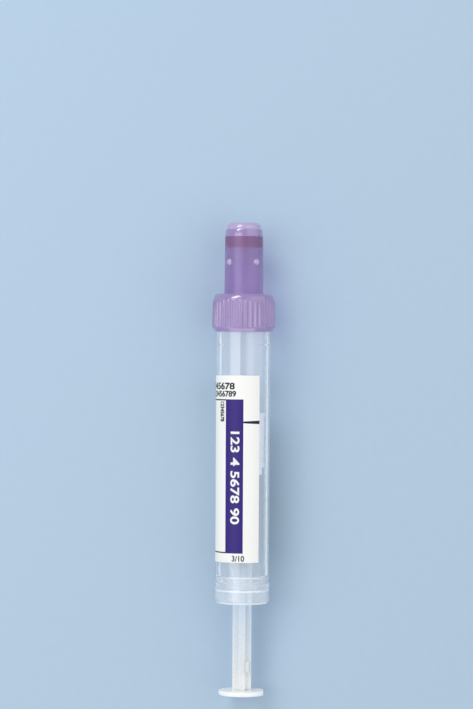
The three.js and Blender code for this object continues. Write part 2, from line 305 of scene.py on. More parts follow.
class StageSettings(bpy.types.PropertyGroup):
    """The pale studio."""

    floor: colour("Floor colour", (176, 196, 214), "Colour of the floor")
    room: colour("Room colour", (226, 233, 240), "Colour of the room's soft light")
    room_level: amount("Room light", 0.56, "Strength of the room's soft light", 5)
    key_power: amount("Key light", 2.15, "Power of the small bright light past the cap, in watts", 100)
    soft_power: amount("Soft light", 0.95, "Power of the long left light in watts", 100)
    fill_power: amount("Fill light", 5.4, "Power of the right light in watts", 100)
    foot_power: amount("Foot light", 1.1, "Power of the light past the thumb disc, in watts", 100)
    aim_height: length("Camera aim", 51.4, "Height on the tube that the camera looks at")
    aim_left: length("Camera aim, left", 1.45, "How far left of the axis the camera looks")
    distance: length("Camera distance", 538, "Distance of the camera from the tube's axis")
    lens: FloatProperty(name="Lens", description="Focal length in millimetres", default=132)
    lean: turn("Lean", 0.33, "How far the tube's top leans to the right in view")


GROUPS = {
    "barrel": BarrelSettings,
    "cap": CapSettings,
    "stopper": StopperSettings,
    "piston": PistonSettings,
    "rod": RodSettings,
    "label": LabelSettings,
    "stage": StageSettings,
}


class TubeSettings(bpy.types.PropertyGroup):
    """All the settings of the tube and its studio."""

    __annotations__ = {
        name: PointerProperty(type=group, name=name.capitalize()) for name, group in GROUPS.items()
    }


# Shapes


def ease(low, high, value):
    """0 at low, 1 at high, and a smooth rise between them."""
    share = min(1, max(0, (value - low) / (high - low)))
    return share * share * (3 - 2 * share)


def rounded(corners, steps=5):
    """A closed outline of (radius, height, easing) corners, each rounded over its easing length."""
    points = []
    for index, (radius, height, easing) in enumerate(corners):
        corner = Vector((radius, height))
        if not easing:
            points.append(corner)
            continue
        before = Vector(corners[index - 1][:2]) - corner
        after = Vector(corners[(index + 1) % len(corners)][:2]) - corner
        start = corner + before.normalized() * min(easing, before.length * 0.45)
        end = corner + after.normalized() * min(easing, after.length * 0.45)
        points.append(start + before.normalized() * min(easing, before.length * 0.04))
        for step in range(steps + 1):
            share = step / steps
            points.append(start.lerp(corner, share).lerp(corner.lerp(end, share), share))
        points.append(end + after.normalized() * min(easing, after.length * 0.04))
    return points


def ladder(start, end, gap):
    """Plain corners between two (radius, height) places, both left out, about a gap apart."""
    start, end = Vector(start), Vector(end)
    count = max(1, round((end - start).length / gap))
    return [(*start.lerp(end, step / count), 0) for step in range(1, count)]


def quarter_round(start, end, steps=10):
    """Corners along a quarter ellipse that leaves start straight up and meets end level."""
    corners = []
    for step in range(steps + 1):
        angle = math.pi / 2 * step / steps
        radius = end[0] + (start[0] - end[0]) * math.cos(angle)
        corners.append((radius, start[1] + (end[1] - start[1]) * math.sin(angle), 0))
    return corners


def lathe(corners, steps):
    """A shell turned about the tube's axis from a closed outline, as rounded() takes it."""
    bm = bmesh.new()
    points = [bm.verts.new((0, -radius, height)) for radius, height in rounded(corners)]
    pairs = zip(points, points[1:] + points[:1])
    edges = [bm.edges.new(pair) for pair in pairs if any(point.co.y for point in pair)]
    bmesh.ops.spin(
        bm, geom=points + edges, cent=(0, 0, 0), axis=(0, 0, 1), dvec=(0, 0, 0),
        angle=FULL_TURN, steps=steps, use_merge=True,
    )
    bmesh.ops.remove_doubles(bm, verts=bm.verts, dist=1e-7)
    bmesh.ops.recalc_face_normals(bm, faces=bm.faces)
    return bm


def polar(point):
    """A point's radius and its angle from the front, 0 to a full turn."""
    return math.hypot(point.x, point.y), math.atan2(point.x, -point.y) % FULL_TURN


def set_radius(vertex, radius, angle):
    """Moves a vertex to a radius at its own height."""
    vertex.co = around(radius, angle, vertex.co.z)


def thread_share(barrel, angle, height, turns=1.2, flat=0.26, foot=0.56):
    """How far up the thread's side a place round the neck is, from 0 at its root to 1 at its crest.
    The thread's half widths at its crest and its root, flat and foot, are in millimetres."""
    rise = (height - barrel.thread_start) / barrel.thread_pitch - angle / FULL_TURN
    along = angle / FULL_TURN + round(rise)
    ends = ease(-0.06, 0.04, along) * ease(turns + 0.06, turns - 0.04, along)
    off = abs(rise - round(rise)) * barrel.thread_pitch / MM
    return ends * ease(foot, flat, off)


def join(bm, other):
    """Adds another mesh to bm and frees it."""
    mesh = bpy.data.meshes.new("joined")
    other.to_mesh(mesh)
    other.free()
    bm.from_mesh(mesh)
    bpy.data.meshes.remove(mesh)


def cut(bm, point, normal, **options):
    """Cuts a whole mesh along the plane through a point. With clear_outer, what lies past it goes."""
    return bmesh.ops.bisect_plane(
        bm, geom=bm.verts[:] + bm.edges[:] + bm.faces[:], dist=1e-8,
        plane_co=point, plane_no=normal, **options,
    )


def extrude(bm, faces, kind):
    """Extrudes faces, and gives back what this made of one kind."""
    made = bmesh.ops.extrude_face_region(bm, geom=faces)
    return [item for item in made["geom"] if isinstance(item, kind)]


def soften(bm, size, edges=None, segments=3):
    """Rounds the given edges, or else every sharp edge of a mesh."""
    if edges is None:
        edges = [edge for edge in bm.edges if edge.calc_face_angle(0) > BEVEL_ANGLE]
    bmesh.ops.bevel(
        bm, geom=edges, offset=size, offset_type="OFFSET", affect="EDGES", segments=segments,
        profile=0.5, material=-1, clamp_overlap=True,
    )


def new_object(name, data):
    """A new object that shows in the scene."""
    made = bpy.data.objects.new(name, data)
    bpy.context.scene.collection.objects.link(made)
    return made


def mesh_object(bm, name, materials):
    """A new object from a mesh and its materials."""
    mesh = bpy.data.meshes.new(name)
    bm.to_mesh(mesh)
    bm.free()
    for material in materials:
        mesh.materials.append(material)
    return new_object(name, mesh)


def finish_piece(bm, name, materials, body, node, sharp=35):
    """Lays a mesh down in the row frame as a named piece that rides on a body for a CAD node."""
    piece = mesh_object(bm, name, materials)
    piece.data.shade_smooth()
    piece.data.set_sharp_from_angle(angle=math.radians(sharp))
    piece.data.transform(TUBE)
    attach(piece, body)
    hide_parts(node)


def body_radius(barrel, height):
    """The barrel's outer radius between the foot and the shoulder."""
    shoulder = node_ends("barrel")[1] - barrel.neck_length
    rise = (height - barrel.foot_height) / (shoulder - barrel.foot_height)
    wall = barrel.foot_wall + (barrel.shoulder_wall - barrel.foot_wall) * rise
    return barrel.bore + wall


CLEAR, BORE, MILKY, WEB, PAINTED_EDGE_HIGHLIGHT = range(5)


def barrel_finish(barrel, place, ring_top):
    """Which finish the barrel has at a place on one of its faces."""
    radius = polar(place)[0]
    if place.z > ring_top:
        # The bore's faces take the painted gleam, a pale band that stands in for light.
        return BORE if radius < barrel.bore + 0.02 * MM else CLEAR
    underside = barrel.foot_height - barrel.floor_thickness
    # The rim's slope and the floor web's lower edge get a near-white haze: painted highlight lines.
    if radius > barrel.bore + 0.2 * MM:
        if place.z < barrel.foot_chamfer:
            return PAINTED_EDGE_HIGHLIGHT
        return WEB if underside < place.z < barrel.foot_height else MILKY
    corner = underside - 0.35 * MM < place.z < underside + 0.01 * MM
    return PAINTED_EDGE_HIGHLIGHT if corner and radius > barrel.bore - 0.7 * MM else CLEAR


def make_barrel(barrel):
    """The barrel: foot, floor web, locking ring, tapered wall and threaded neck in one shell."""
    top = node_ends("barrel")[1]
    shoulder = top - barrel.neck_length
    bore, web = barrel.bore, barrel.foot_height
    foot = bore + barrel.foot_wall + barrel.foot_step
    neck = bore + barrel.neck_wall
    ring = bore - barrel.ring_inset
    ring_top = web + barrel.ring_height
    recess = bore - barrel.recess_inset
    line, fine = barrel.mould_line, 0.07 * MM
    bm = lathe([
        (foot - barrel.foot_chamfer, 0, 0.12 * MM),
        (foot, barrel.foot_chamfer, 0.25 * MM),
        (foot, web - barrel.foot_step, 0.03 * MM),
        (body_radius(barrel, web), web, 0.03 * MM),
        (body_radius(barrel, ring_top), ring_top, 0),
        (body_radius(barrel, shoulder), shoulder, 0.12 * MM),
        (neck, shoulder + 0.25 * MM, 0.06 * MM),
        *ladder((neck, shoulder + 0.3 * MM), (neck, top - 0.3 * MM), 0.11 * MM),
        (neck, top - 0.2 * MM, 0.05 * MM),
        (neck - 0.2 * MM, top, 0.05 * MM),
        (bore, top, 0.08 * MM),
        (bore, line + 3 * fine, 0),
        (bore, line + fine, 0),
        (bore - barrel.mould_line_depth, line, 0),
        (bore, line - fine, 0),
        (bore, line - 3 * fine, 0),
        (bore, ring_top, 0.18 * MM),
        (ring, ring_top - barrel.ring_inset, 0.15 * MM),
        (ring, web, 0.3 * MM),
        (barrel.rod_hole, web, 0.12 * MM),
        (barrel.rod_hole, web - barrel.floor_thickness, 0.12 * MM),
        (recess, web - barrel.floor_thickness, 0.4 * MM),
        (recess, 0, 0.1 * MM),
    ], 192)
    for vertex in bm.verts:
        radius, angle = polar(vertex.co)
        if radius > bore + 0.1 * MM and vertex.co.z > shoulder + 0.3 * MM:
            share = thread_share(barrel, angle, vertex.co.z)
            set_radius(vertex, radius + barrel.thread_depth * share, angle)
    for face in bm.faces:
        face.material_index = barrel_finish(barrel, face.calc_center_median(), ring_top)
    materials = [
        clear_plastic("Clear plastic", barrel, barrel.haze, rough=0.02),
        # The bore's faces get the painted gleam, a pale band that stands in for light.
        clear_plastic("Clear bore plastic, painted light band", barrel, barrel.haze, rough=0.02, with_painted_gleam=True),
        clear_plastic("Milky foot plastic", barrel, barrel.milk, rough=0.16),
        clear_plastic("Milky web plastic", barrel, barrel.web_milk, rough=0.26),
        clear_plastic("Hazy edge plastic, painted highlight", barrel, barrel.painted_edge_light, rough=0.34),
    ]
    finish_piece(bm, "clear_barrel", materials, "barrel_body", "barrel")


THIN, PAINTED_HIGHLIGHT, THICK = range(3)


def rib_share(angle, ribs):
    """1 on a rib's crest and 0 in the valley beside it, with a valley at the front."""
    place = angle / FULL_TURN * ribs % 1
    return ease(0.4, 0.06, abs(place - 0.5))


def make_cap(cap, barrel):
    """The screw cap: ribbed skirt, round shoulder, nose with its nubs and tip, plug and thread."""
    skirt_bottom, tip = node_ends("screw_cap")
    crest = node_radius("screw_cap") - RIB_GAP
    valley = crest - cap.rib_height
    bore = valley - cap.skirt_wall
    skirt_top = tip - cap.nose_length
    underside = skirt_top - cap.plate
    plug_end = underside - cap.plug_depth
    shoulder = node_ends("barrel")[1] - barrel.neck_length
    rib_bottom = skirt_bottom + cap.rim_chamfer
    high = crest - cap.skirt_draft
    round_start = skirt_top - cap.round_height
    nose_low, nose_high = cap.nose_bore + cap.nose_wall_low, cap.nose_bore + cap.nose_wall_high
    tip -= TIP_GAP
    tip_base = tip - cap.tip_height
    nose_round = tip_base - cap.nose_round_height
    nubs = skirt_top + cap.nub_rise
    near_nubs = 0.85 * MM
    nose_mid = (nose_low + nose_high) / 2
    seat = tip - cap.seat_depth
    room_start = shoulder + 0.25 * MM
    fine_steps = 9
    bm = lathe([
        (bore + cap.rim_wall, skirt_bottom, 0.12 * MM),
        (crest, rib_bottom, 0.25 * MM),
        *ladder((crest, rib_bottom + 0.3 * MM), (high, round_start), 0.09 * MM)[:fine_steps],
        *ladder((crest, rib_bottom + 1.1 * MM), (high, round_start), 1.1 * MM),
        *quarter_round((high, round_start), (high - cap.round_depth, skirt_top), 16),
        (nose_low, skirt_top, 0.16 * MM),
        (nose_mid, nubs - near_nubs, 0),
        *ladder((nose_mid, nubs - near_nubs), (nose_mid, nubs + near_nubs), 0.065 * MM),
        (nose_mid, nubs + near_nubs, 0),
        *quarter_round((nose_high, nose_round), (nose_high - cap.nose_round_depth, tip_base)),
        (cap.tip_radius, tip_base + 0.03 * MM, 0.05 * MM),
        *quarter_round((cap.tip_radius, tip_base + 0.09 * MM), (cap.tip_radius - cap.tip_round, tip)),
        (cap.mouth, tip, 0.14 * MM),
        (cap.mouth, seat, 0.05 * MM),
        (cap.nose_bore, seat, 0.05 * MM),
        (cap.nose_bore, plug_end, 0.2 * MM),
        (cap.plug_radius, plug_end, 0.4 * MM),
        (cap.plug_radius, underside, 0.1 * MM),
        (cap.thread_room, underside, 0.2 * MM),
        *ladder((cap.thread_room, underside - 0.3 * MM), (cap.thread_room, room_start), 0.12 * MM),
        (cap.thread_room, room_start, 0.05 * MM),
        (bore, shoulder, 0.05 * MM),
        (bore, skirt_bottom, 0.08 * MM),
    ], cap.ribs * 10)
    for vertex in bm.verts:
        radius, angle = polar(vertex.co)
        height = vertex.co.z
        if radius > valley and height > rib_bottom - 0.01 * MM:
            depth = (radius - valley) * ease(rib_bottom, rib_bottom + 0.35 * MM, height)
            depth *= ease(round_start + cap.round_height * 0.7, round_start, height)
            set_radius(vertex, radius - depth * (1 - rib_share(angle, cap.ribs)), angle)
        elif abs(height - nubs) < near_nubs and radius > cap.nose_bore + 0.1 * MM:
            off = (angle - cap.nub_turn + math.pi / 4) % (math.pi / 2) - math.pi / 4
            reach = math.hypot(off * radius, height - nubs)
            stand = max(0, 1 - (reach / cap.nub_radius) ** 2.5) ** 0.6
            set_radius(vertex, radius + cap.nub_stand_off * stand, angle)
        elif abs(radius - cap.thread_room) < 0.01 * MM and height < underside - 0.25 * MM:
            share = thread_share(barrel, (angle + math.pi) % FULL_TURN, height)
            set_radius(vertex, radius - barrel.thread_depth * share, angle)
    thin_skin = nose_low + 0.05 * MM
    # The tip ring and the nubs take a lighter tinted copy of the thick plastic, a painted highlight.
    for face in bm.faces:
        middle = face.calc_center_median()
        nub = skirt_top < middle.z < seat and polar(middle)[0] > thin_skin
        if nub or middle.z > tip_base - 0.2 * MM:
            face.material_index = PAINTED_HIGHLIGHT
        else:
            face.material_index = THIN if skirt_top < middle.z < seat else THICK
    thin, thick = cap.clearness, cap.thick_clearness
    materials = [
        cap_plastic("Thin purple plastic", cap, cap.tint, thin, rough=0.38, coat=(0.15, 0.4)),
        cap_plastic("Purple plastic, painted highlight", cap, cap.painted_highlight_tint, thick, rough=0.2, coat=(0.8, 0.12)),
        cap_plastic("Thick purple plastic", cap, cap.thick_tint, thick, rough=0.2, coat=(1, 0.06)),
    ]
    finish_piece(bm, "purple_screw_cap", materials, "cap", "screw_cap", sharp=70)


def make_stopper(stopper):
    """The rubber membrane: a thick disc with a shallow dish on top."""
    bottom, top = node_ends("membrane_stopper")
    radius = node_radius("membrane_stopper") + stopper.squeeze
    bm = lathe([
        (0, bottom, 0),
        (radius, bottom, stopper.edge),
        (radius, top, stopper.edge),
        (stopper.dish_radius, top, 0.3 * MM),
        (0, top - stopper.dish_depth, 0),
    ], 96)
    finish_piece(
        bm, "rubber_membrane", [membrane_rubber(stopper)],
        "membrane_carrier", "membrane_stopper",
    )


def make_piston(piston):
    """The piston: a cup with two sealing lips and a latch ring, round the socket for the rod."""
    rest, peak = node_ends("piston")
    radius = node_radius("piston")
    top = peak - piston.crown_rise
    lip_start = rest + piston.latch_height
    waist = radius - piston.waist
    inner = waist - piston.wall
    post = piston.socket + piston.socket_wall
    socket_top = top - piston.crown
    snap_top = socket_top - piston.snap_drop
    snap_low = snap_top - piston.snap_height
    snap = piston.socket - piston.snap_inset
    soft = 0.12 * MM
    bm = lathe([
        (inner, rest, soft),
        (piston.latch_radius, rest, 0.25 * MM),
        (piston.latch_radius, lip_start, soft),
        (radius, lip_start, soft),
        (radius, lip_start + piston.lip, soft),
        (waist, lip_start + piston.lip + piston.waist, soft),
        (waist, top - piston.lip - piston.waist, soft),
        (radius, top - piston.lip, soft),
        (radius, top, 0.18 * MM),
        (0, peak, 0),
        (0, socket_top, 0),
        (piston.socket, socket_top, soft),
        (piston.socket, snap_top, soft),
        (snap, snap_top, soft),
        (snap, snap_low, soft),
        (piston.socket, snap_low, soft),
        (piston.socket, lip_start, soft),
        (post, lip_start, soft),
        (post, socket_top, soft),
        (inner, socket_top, soft),
    ], 128)
    finish_piece(bm, "white_piston", [piston_plastic(piston)], "plunger", "piston")


def cross_bar(stations):
    """A plus-shaped bar, extruded from one (height, width, fin thickness) station to the next."""
    span = stations[0][1]
    bm = bmesh.new()
    bmesh.ops.create_grid(bm, x_segments=3, y_segments=3, size=span / 2)
    middles = {face: face.calc_center_median() for face in bm.faces}
    corners = [face for face, c in middles.items() if min(abs(c.x), abs(c.y)) > span / 6]
    bmesh.ops.delete(bm, geom=corners, context="FACES")
    section = bm.faces[:]
    place_section(section, span, stations[0])
    for before, station in zip(stations, stations[1:]):
        section = extrude(bm, section, bmesh.types.BMFace)
        place_section(section, before[1], station)
    bmesh.ops.recalc_face_normals(bm, faces=bm.faces)
    return bm


def place_section(section, span, station):
    """Gives a plus-shaped section, so far span wide, a station's height, width and thickness."""
    height, wide, fin = station
    for vertex in {vertex for face in section for vertex in face.verts}:
        x, y = (
            math.copysign(wide / 2 if abs(value) > span * 0.4 else fin / 2, value)
            for value in vertex.co.xy
        )
        vertex.co = (x, y, height)


def thumb_disc(rod, bottom):
    """The round thumb disc with the flat that its moulding gate leaves."""
    top = bottom + rod.disc_thickness
    bm = lathe([
        (0, bottom, 0),
        (rod.disc_radius, bottom, 0.34 * MM),
        (rod.disc_radius, top, 0.34 * MM),
        (0, top, 0),
    ], 128)
    made = cut(bm, (rod.disc_flat, 0, 0), (1, 0, 0), clear_outer=True)
    rim = [item for item in made["geom_cut"] if isinstance(item, bmesh.types.BMEdge)]
    flat = bmesh.ops.holes_fill(bm, edges=rim)["faces"]
    soften(bm, 0.08 * MM, [edge for face in flat for edge in face.edges], 2)
    return bm


def make_rod(rod):
    """The plunger rod: thumb disc, plus-shaped bar with its break-off neck, and snap head."""
    bottom, top = node_ends("plunger_rod")
    disc_top = bottom + rod.disc_thickness
    head_bottom = top - rod.head_height
    stem_bottom = head_bottom - rod.stem_height
    neck, neck_end = rod.break_height, rod.break_height + rod.break_length
    full, thin = (rod.span, rod.fin), (rod.break_span, rod.break_fin)
    slope = 0.12 * MM
    bm = cross_bar([
        (disc_top - 0.4 * rod.disc_thickness, *full),
        (neck - slope, *full),
        (neck, *thin),
        (neck_end, *thin),
        (neck_end + slope, *full),
        (stem_bottom, *full),
    ])
    soften(bm, rod.edge)
    join(bm, thumb_disc(rod, bottom))
    gusset = bmesh.new()
    corner, sink = rod.fin / 2, 0.2 * MM
    wide, deep = rod.gusset_width + sink, rod.gusset_depth + sink
    low = disc_top + rod.gusset_rise
    bmesh.ops.create_cube(gusset, size=1)
    bmesh.ops.scale(gusset, vec=(wide, deep, rod.gusset_height), verts=gusset.verts)
    place = (corner - sink + wide / 2, sink - corner - deep / 2, low + rod.gusset_height / 2)
    bmesh.ops.translate(gusset, vec=place, verts=gusset.verts)
    soften(gusset, 0.1 * MM)
    join(bm, gusset)
    reach = math.hypot(rod.span, rod.fin) / 2
    join(bm, lathe([
        (0, stem_bottom - 0.3 * MM, 0),
        (rod.stem_radius, stem_bottom - 0.3 * MM, 0.1 * MM),
        (rod.stem_radius, head_bottom, 0.08 * MM),
        (reach, head_bottom, 0.1 * MM),
        (reach, top, 0.4 * MM),
        (0, top, 0),
    ], 64))
    for face in bm.faces:
        on_disc = face.calc_center_median().z < disc_top + 0.01 * MM
        face.material_index = int(on_disc)
    materials = [
        rod_plastic("Translucent rod plastic", rod, clearness=0.2, depth=0.4),
        rod_plastic("Thumb disc plastic", rod, clearness=0, depth=0.2),
    ]
    finish_piece(bm, "rod_with_thumb_disc", materials, "plunger", "plunger_rod")


# The label


FILM, STRIPE, DARK, MARK, WHITE = range(5)
FIELD_MARGIN, LINE_SPAN = math.radians(8), math.radians(1)
FILM_GAP, INK_GAP = 0.01 * MM, 0.001 * MM

# The figures, their (run, rise), the (arc from the front, height) where they start, their ink,
# whether they run down the tube, and how bold they are. Lengths are in millimetres.
FIGURES = (
    ("123 4 5678 90", (19.0, 1.97), (-2.68, 35.6), WHITE, True, 0.024),
    ("12345678", (9.0, 1.45), (-10.8, 44.2), DARK, False, 0.03),
    ("0123456789", (8.6, 1.28), (-10.1, 42.7), DARK, False, 0.03),
    ("12345678", (4.1, 1.2), (-5.45, 41.7), DARK, True, 0.04),
    ("3/10", (2.6, 1.2), (-2.25, 8.95), DARK, False, 0.022),
)


def field_lines(label):
    """The angles where the field's upright lines begin. The first is the field's left edge."""
    return label.right - label.span + FIELD_MARGIN, *map(math.radians, (-84, -112, -140))


def film_field(label, angle, height):
    """Which ink, if any, covers a place on the label's film."""
    within = label.field_bottom < height < label.field_top
    if label.stripe_left < angle < label.stripe_right and within:
        return STRIPE
    if angle > label.stripe_right:
        share = (angle - label.stripe_right) / (label.right - label.stripe_right)
        width = label.mark_thin + (label.mark_wide - label.mark_thin) * share
        return MARK if abs(height - label.mark_height) < width / 2 else FILM
    lines = field_lines(label)
    if not (lines[0] < angle < label.stripe_left and within):
        return FILM
    inside = label.line < height - label.field_bottom and height < label.field_top - label.line
    ruled = any(0 < angle - line < LINE_SPAN for line in lines)
    return FILM if inside and not ruled else DARK


def label_film_mesh(label, barrel):
    """The film: an upright edge spun round the barrel's taper, cut where its print begins."""
    left = label.right - label.span
    bm = bmesh.new()
    ends = [
        bm.verts.new(around(body_radius(barrel, height) + FILM_GAP, left, height))
        for height in node_ends("label")
    ]
    bmesh.ops.spin(
        bm, geom=[*ends, bm.edges.new(ends)], cent=(0, 0, 0), axis=(0, 0, 1), dvec=(0, 0, 0),
        angle=label.span, steps=round(math.degrees(label.span) / 2),
    )
    for inset in (0, label.line):
        for height in (label.field_bottom + inset, label.field_top - inset):
            cut(bm, (0, 0, height), (0, 0, 1))
    across = body_radius(barrel, label.mark_height) * math.sin(label.right)
    for side in (-1, 1):
        tilt = side * (label.mark_wide - label.mark_thin) / 2 / across
        cut(bm, (0, 0, label.mark_height + side * label.mark_thin / 2), (-tilt, 0, 1))
    lines = [line + width for line in field_lines(label) for width in (0, LINE_SPAN)]
    for angle in (label.stripe_left, label.stripe_right, *lines):
        cut(bm, (0, 0, 0), around(1, angle + math.pi / 2, 0))
    for face in bm.faces:
        middle = face.calc_center_median()
        angle = polar(middle)[1]
        if angle > label.right + 0.01:
            angle -= FULL_TURN
        face.material_index = film_field(label, angle, middle.z)
    bmesh.ops.recalc_face_normals(bm, faces=bm.faces)
    inner = set(bm.faces)
    for vertex in extrude(bm, bm.faces[:], bmesh.types.BMVert):
        radius, angle = polar(vertex.co)
        set_radius(vertex, radius + label.thickness, angle)
    for face in bm.faces:
        if face in inner or face.normal.xy.length < 0.5:
            face.material_index = FILM
    bmesh.ops.recalc_face_normals(bm, faces=bm.faces)
    return bm


def print_figures(bm, label, barrel, figures, size, place, ink, down, weight):
    """Prints plain figures on the film. size is their (run, rise) and place the (arc from the front,
    height) where they start. With down they run down the tube, with their tops to the right."""
    curve = bpy.data.curves.new("figures", "FONT")
    curve.body, curve.offset, curve.resolution_u = figures, weight, 6
    holder = bpy.data.objects.new("figures", curve)
    flat = bpy.data.meshes.new_from_object(holder)
    text = bmesh.new()
    text.from_mesh(flat)
    bpy.data.objects.remove(holder)
    bpy.data.curves.remove(curve)
    bpy.data.meshes.remove(flat)
    spans = [[vertex.co[axis] for vertex in text.verts] for axis in range(2)]
    low, high = [min(span) for span in spans], [max(span) for span in spans]
    for vertex in text.verts:
        run, rise = (
            (vertex.co[axis] - low[axis]) / (high[axis] - low[axis]) * size[axis]
            for axis in range(2)
        )
        arc, height = (rise, -run) if down else (run, rise)
        vertex.co = (place[0] + arc, 0, place[1] + height)
    arcs = [vertex.co.x for vertex in text.verts]
    step = 0.2 * MM
    for index in range(math.ceil(min(arcs) / step), math.floor(max(arcs) / step) + 1):
        cut(text, (index * step, 0, 0), (1, 0, 0))
    raised = set(extrude(text, text.faces[:], bmesh.types.BMVert))
    for vertex in text.verts:
        arc, height = vertex.co.x, vertex.co.z
        surface = body_radius(barrel, height) + FILM_GAP + label.thickness
        lift = label.ink_stand if vertex in raised else INK_GAP
        vertex.co = around(surface + lift, arc / surface, height)
    for face in text.faces:
        face.material_index = ink
    bmesh.ops.recalc_face_normals(text, faces=text.faces)
    join(bm, text)


def make_label(label, barrel):
    """The label: white film with a stripe, a ruled field, a fill mark and plain figures."""
    bm = label_film_mesh(label, barrel)
    for figures, size, place, *style in FIGURES:
        size, place = ([value * MM for value in pair] for pair in (size, place))
        print_figures(bm, label, barrel, figures, size, place, *style)
    inks = (
        ("Stripe ink", label.stripe_ink),
        ("Dark ink", label.dark_ink),
        ("Mark ink", label.mark_ink),
        ("White ink", label.film),
    )
    materials = [label_film(label), *(ink_on_film(*ink) for ink in inks)]
    finish_piece(bm, "printed_label", materials, "barrel_body", "label")


# Materials


def add_node(tree, kind, inputs=(), **settings):
    """A new node. inputs maps a socket's name or number to a value or another node's output."""
    node = tree.nodes.new(kind)
    for name, value in settings.items():
        setattr(node, name, value)
    for name, value in dict(inputs).items():
        if isinstance(value, bpy.types.NodeSocket):
            tree.links.new(value, node.inputs[name])
        else:
            node.inputs[name].default_value = value
    return node


def maths(tree, operation, *values):
    """The result of a Math node on values or other nodes' outputs."""
    return add_node(tree, "ShaderNodeMath", dict(enumerate(values)), operation=operation).outputs[0]


def mixed(tree, share, first, second):
    """A shader that goes from the first to the second as the share does."""
    return add_node(tree, "ShaderNodeMixShader", {0: share, 1: first, 2: second}).outputs[0]


def coordinate(tree, axis):
    """A place's X, Y or Z in the row frame."""
    place = add_node(tree, "ShaderNodeTexCoord").outputs["Object"]
    return add_node(tree, "ShaderNodeSeparateXYZ", {0: place}).outputs[axis]


def plastic(name, IOR=1.5, **sockets):
    """A new material, its node tree and its shader, with plain values set on the shader's sockets."""
    material = bpy.data.materials.new(name)
    material.use_nodes = True
    tree = material.node_tree
    shader = tree.nodes["Principled BSDF"]
    for socket, value in {"IOR": IOR, **sockets}.items():
        shader.inputs[socket.replace("_", " ")].default_value = value
    return material, tree, shader


def grain(tree, size, stretch=1, detail=3):
    """Noise on the piece's own coordinates. size is its grain in metres, and stretch how many times
    longer it runs along the tube."""
    mapping = add_node(tree, "ShaderNodeMapping", {
        "Vector": add_node(tree, "ShaderNodeTexCoord").outputs["Object"],
        "Scale": (1 / size, 1 / size / stretch, 1 / size),
    })
    noise = add_node(tree, "ShaderNodeTexNoise", {
        "Vector": mapping.outputs["Vector"], "Scale": 1, "Detail": detail,
    })
    return noise.outputs["Fac"]


def tints(tree, noise, tint, share):
    """A colour that goes from a share of its light to all of it as the noise does."""
    ramp = add_node(tree, "ShaderNodeValToRGB", {"Fac": noise})
    for element, stop, level in zip(ramp.color_ramp.elements, NOISE_SPAN, (share, 1)):
        element.position = stop
        element.color = (*dimmed(tint, level), 1)
    return ramp.outputs["Color"]


def skin(tree, shader, tint, fine, rough, relief, depth):
    """Gives a shader its uneven tint, a roughness between two values as the fine noise goes, and a
    relief some metres deep."""
    low, high = NOISE_SPAN
    roughness = add_node(tree, "ShaderNodeMapRange", {
        "Value": fine, "From Min": low, "From Max": high, "To Min": rough[0], "To Max": rough[1],
    })
    normal = add_node(tree, "ShaderNodeBump", {"Height": relief, "Distance": depth, "Strength": 1})
    for socket, output in (
        ("Base Color", tint),
        ("Roughness", roughness.outputs["Result"]),
        ("Normal", normal.outputs["Normal"]),
    ):
        tree.links.new(output, shader.inputs[socket])


def dimmed(tint, share):
    """A colour with a share of its light."""
    return [value * share for value in tint]


def let_lamps_through(tree, surface, tint, rays=("Is Shadow Ray",)):
    """Lets the lamps' light pass a clear piece, tinted at each face, so that its shadow isn't black."""
    path = add_node(tree, "ShaderNodeLightPath")
    clear = add_node(tree, "ShaderNodeBsdfTransparent", {"Color": (*tint, 1)}).outputs["BSDF"]
    for ray in rays:
        surface = mixed(tree, path.outputs[ray], surface, clear)
    tree.links.new(surface, tree.nodes["Material Output"].inputs["Surface"])


def painted_gleam(tree, surface, near, far):
    """A painted gleam: a pale diffuse band, placed by the viewing angle where a wall seen from inside
    the plastic starts to mirror all light, that stands in for the light seen there. near and far are
    its strengths on the tube's left and right, with the right painted brighter. On the right it lies
    further out."""
    right = maths(tree, "GREATER_THAN", coordinate(tree, "X"), 0)
    slant = add_node(tree, "ShaderNodeLayerWeight", {"Blend": 0.5}).outputs["Facing"]
    moved = maths(tree, "MULTIPLY_ADD", right, -PAINTED_GLEAM_SHIFT, slant)
    ramp = add_node(tree, "ShaderNodeValToRGB", {"Fac": moved})
    stops = ramp.color_ramp.elements
    for position, level in PAINTED_GLEAM_STOPS:
        stops.new(position).color = (level, level, level, 1)
    stops[-1].color = stops[-2].color
    inside = add_node(tree, "ShaderNodeNewGeometry").outputs["Backfacing"]
    band = maths(tree, "MULTIPLY", ramp.outputs["Color"], inside)
    strength = maths(tree, "MULTIPLY_ADD", right, far - near, near)
    pale = add_node(tree, "ShaderNodeBsdfDiffuse", {"Color": (0.95, 0.97, 0.99, 1)}).outputs["BSDF"]
    return mixed(tree, maths(tree, "MULTIPLY", band, strength), surface, pale)


def clear_plastic(name, barrel, haze, rough, with_painted_gleam=False):
    """Clear moulded plastic with some haze, long flow marks and a fine orange peel. With a painted
    gleam, a face that is seen from inside the plastic gets a pale painted band where it starts to
    mirror all light."""
    material, tree, shader = plastic(name, Transmission_Weight=1 - haze)
    flow, fine = grain(tree, 0.9 * MM, 30), grain(tree, 0.25 * MM)
    tint = tints(tree, flow, barrel.tint, 0.97)
    skin(tree, shader, tint, fine, (rough, rough + 0.04), flow, 0.001 * MM)
    surface = shader.outputs["BSDF"]
    if with_painted_gleam:
        surface = painted_gleam(tree, surface, barrel.painted_gleam_left, barrel.painted_gleam_right)
    let_lamps_through(tree, surface, dimmed(barrel.tint, 0.98), ("Is Shadow Ray", "Is Diffuse Ray"))
    return material


